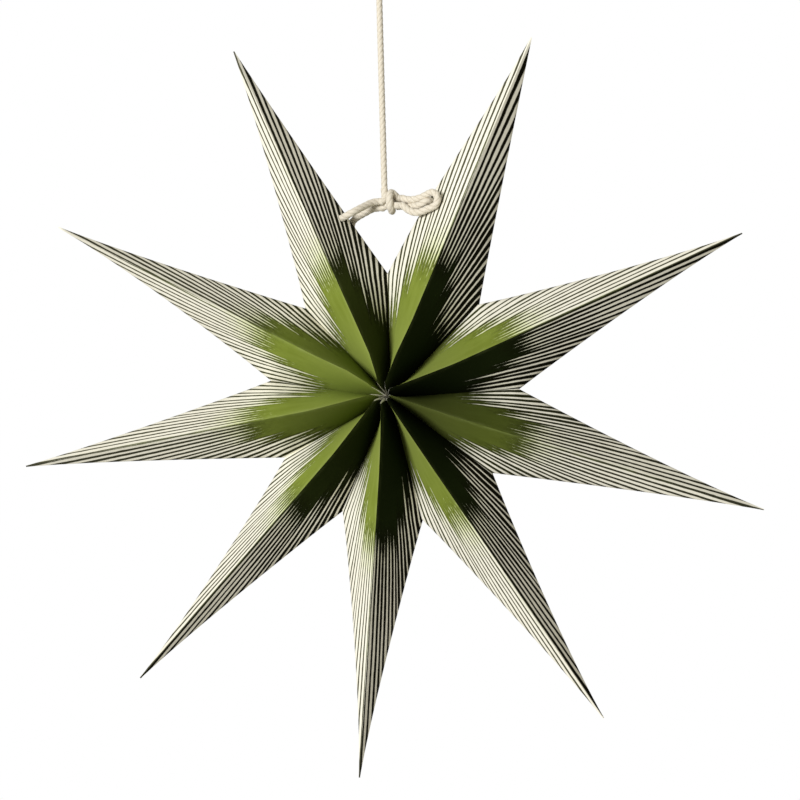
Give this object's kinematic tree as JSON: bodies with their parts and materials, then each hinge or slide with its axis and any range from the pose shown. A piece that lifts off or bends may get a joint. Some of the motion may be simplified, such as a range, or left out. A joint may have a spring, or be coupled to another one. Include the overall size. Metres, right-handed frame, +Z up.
{
  "type": "paper star",
  "caption": "Many-pointed hanging star of folded, striped paper rays, opened as a fan and tied by a cotton cord that ends in a hanging loop.",
  "frame": {"origin": "hanging point: the inside of the top of the hanging loop", "axes": "+Z up along the taut cord, +Y from the front of the star to its back, +X to the right as seen from the front"},
  "size_m": [0.4361, 0.111, 0.5103],
  "materials": {
    "printed_paper": "matt handmade paper printed with dark stripes and an olive green centre",
    "cotton_cord": "twisted natural cotton cord"
  },
  "bodies": {
    "root": {"ray_top_left": "printed_paper", "ray_upper_left": "printed_paper", "ray_left": "printed_paper", "ray_lower_left": "printed_paper", "ray_bottom": "printed_paper", "ray_lower_right": "printed_paper", "ray_right": "printed_paper", "ray_upper_right": "printed_paper", "ray_top_right": "printed_paper", "tie_loop_left": "cotton_cord", "tie_loop_right": "cotton_cord", "tie_tail": "cotton_cord", "tie_knot": "cotton_cord", "hang_cord": "cotton_cord", "loop_knot": "cotton_cord", "hang_loop": "cotton_cord"}
  },
  "joints": []
}
